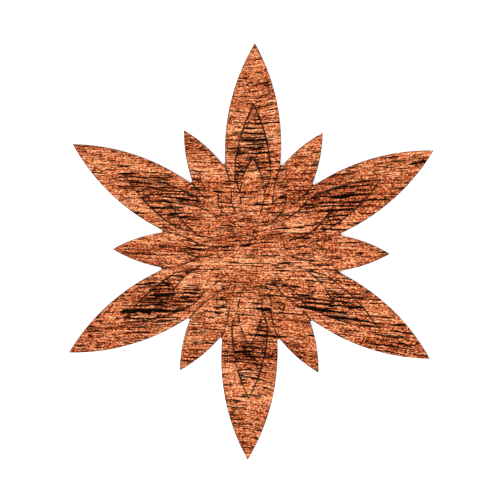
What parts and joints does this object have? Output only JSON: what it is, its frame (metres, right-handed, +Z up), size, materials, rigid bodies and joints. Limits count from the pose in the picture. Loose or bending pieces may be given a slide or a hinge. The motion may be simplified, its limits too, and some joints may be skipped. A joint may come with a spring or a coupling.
{
  "type": "wooden flower puzzle",
  "caption": "Flat star-flower puzzle in wood: nested petal pieces lie flush in a star-shaped tray and lift out one by one.",
  "frame": {"origin": "middle of the backing board's underside", "axes": "+Z up out of the face, +Y along a long petal"},
  "size_m": [0.1732, 0.2, 0.006],
  "materials": {
    "petal_wood": "satin",
    "dark_wood": "satin",
    "light_wood": "satin",
    "disc_wood": "satin",
    "board_wood": "satin"
  },
  "bodies": {
    "tray": {"backing_board": "board_wood", "long_petal_1": "petal_wood", "short_petal_1": "petal_wood", "long_petal_2": "petal_wood", "short_petal_2": "petal_wood", "long_petal_3": "petal_wood", "short_petal_3": "petal_wood", "long_petal_4": "petal_wood", "short_petal_4": "petal_wood", "long_petal_5": "petal_wood", "short_petal_5": "petal_wood", "long_petal_6": "petal_wood", "short_petal_6": "petal_wood"},
    "centre_disc": {"centre_disc": "disc_wood"},
    "dark_petal_1": {"dark_petal_1": "dark_wood"},
    "light_leaf_1": {"light_leaf_1": "light_wood"},
    "small_leaf_1": {"small_leaf_1": "dark_wood"},
    "dark_petal_2": {"dark_petal_2": "dark_wood"},
    "light_leaf_2": {"light_leaf_2": "light_wood"},
    "small_leaf_2": {"small_leaf_2": "dark_wood"},
    "dark_petal_3": {"dark_petal_3": "dark_wood"},
    "light_leaf_3": {"light_leaf_3": "light_wood"},
    "small_leaf_3": {"small_leaf_3": "dark_wood"},
    "dark_petal_4": {"dark_petal_4": "dark_wood"},
    "light_leaf_4": {"light_leaf_4": "light_wood"},
    "small_leaf_4": {"small_leaf_4": "dark_wood"},
    "dark_petal_5": {"dark_petal_5": "dark_wood"},
    "light_leaf_5": {"light_leaf_5": "light_wood"},
    "small_leaf_5": {"small_leaf_5": "dark_wood"},
    "dark_petal_6": {"dark_petal_6": "dark_wood"},
    "light_leaf_6": {"light_leaf_6": "light_wood"},
    "small_leaf_6": {"small_leaf_6": "dark_wood"}
  },
  "joints": [
    {"name": "centre_disc_lift", "type": "slide", "parent": "tray", "child": "centre_disc", "axis": [0, 0, 1], "range_m": [0, 0.012]},
    {"name": "dark_petal_1_lift", "type": "slide", "parent": "tray", "child": "dark_petal_1", "axis": [0, 0, 1], "range_m": [0, 0.012]},
    {"name": "light_leaf_1_lift", "type": "slide", "parent": "tray", "child": "light_leaf_1", "axis": [0, 0, 1], "range_m": [0, 0.012]},
    {"name": "small_leaf_1_lift", "type": "slide", "parent": "tray", "child": "small_leaf_1", "axis": [0, 0, 1], "range_m": [0, 0.012]},
    {"name": "dark_petal_2_lift", "type": "slide", "parent": "tray", "child": "dark_petal_2", "axis": [0, 0, 1], "range_m": [0, 0.012]},
    {"name": "light_leaf_2_lift", "type": "slide", "parent": "tray", "child": "light_leaf_2", "axis": [0, 0, 1], "range_m": [0, 0.012]},
    {"name": "small_leaf_2_lift", "type": "slide", "parent": "tray", "child": "small_leaf_2", "axis": [0, 0, 1], "range_m": [0, 0.012]},
    {"name": "dark_petal_3_lift", "type": "slide", "parent": "tray", "child": "dark_petal_3", "axis": [0, 0, 1], "range_m": [0, 0.012]},
    {"name": "light_leaf_3_lift", "type": "slide", "parent": "tray", "child": "light_leaf_3", "axis": [0, 0, 1], "range_m": [0, 0.012]},
    {"name": "small_leaf_3_lift", "type": "slide", "parent": "tray", "child": "small_leaf_3", "axis": [0, 0, 1], "range_m": [0, 0.012]},
    {"name": "dark_petal_4_lift", "type": "slide", "parent": "tray", "child": "dark_petal_4", "axis": [0, 0, 1], "range_m": [0, 0.012]},
    {"name": "light_leaf_4_lift", "type": "slide", "parent": "tray", "child": "light_leaf_4", "axis": [0, 0, 1], "range_m": [0, 0.012]},
    {"name": "small_leaf_4_lift", "type": "slide", "parent": "tray", "child": "small_leaf_4", "axis": [0, 0, 1], "range_m": [0, 0.012]},
    {"name": "dark_petal_5_lift", "type": "slide", "parent": "tray", "child": "dark_petal_5", "axis": [0, 0, 1], "range_m": [0, 0.012]},
    {"name": "light_leaf_5_lift", "type": "slide", "parent": "tray", "child": "light_leaf_5", "axis": [0, 0, 1], "range_m": [0, 0.012]},
    {"name": "small_leaf_5_lift", "type": "slide", "parent": "tray", "child": "small_leaf_5", "axis": [0, 0, 1], "range_m": [0, 0.012]},
    {"name": "dark_petal_6_lift", "type": "slide", "parent": "tray", "child": "dark_petal_6", "axis": [0, 0, 1], "range_m": [0, 0.012]},
    {"name": "light_leaf_6_lift", "type": "slide", "parent": "tray", "child": "light_leaf_6", "axis": [0, 0, 1], "range_m": [0, 0.012]},
    {"name": "small_leaf_6_lift", "type": "slide", "parent": "tray", "child": "small_leaf_6", "axis": [0, 0, 1], "range_m": [0, 0.012]}
  ]
}
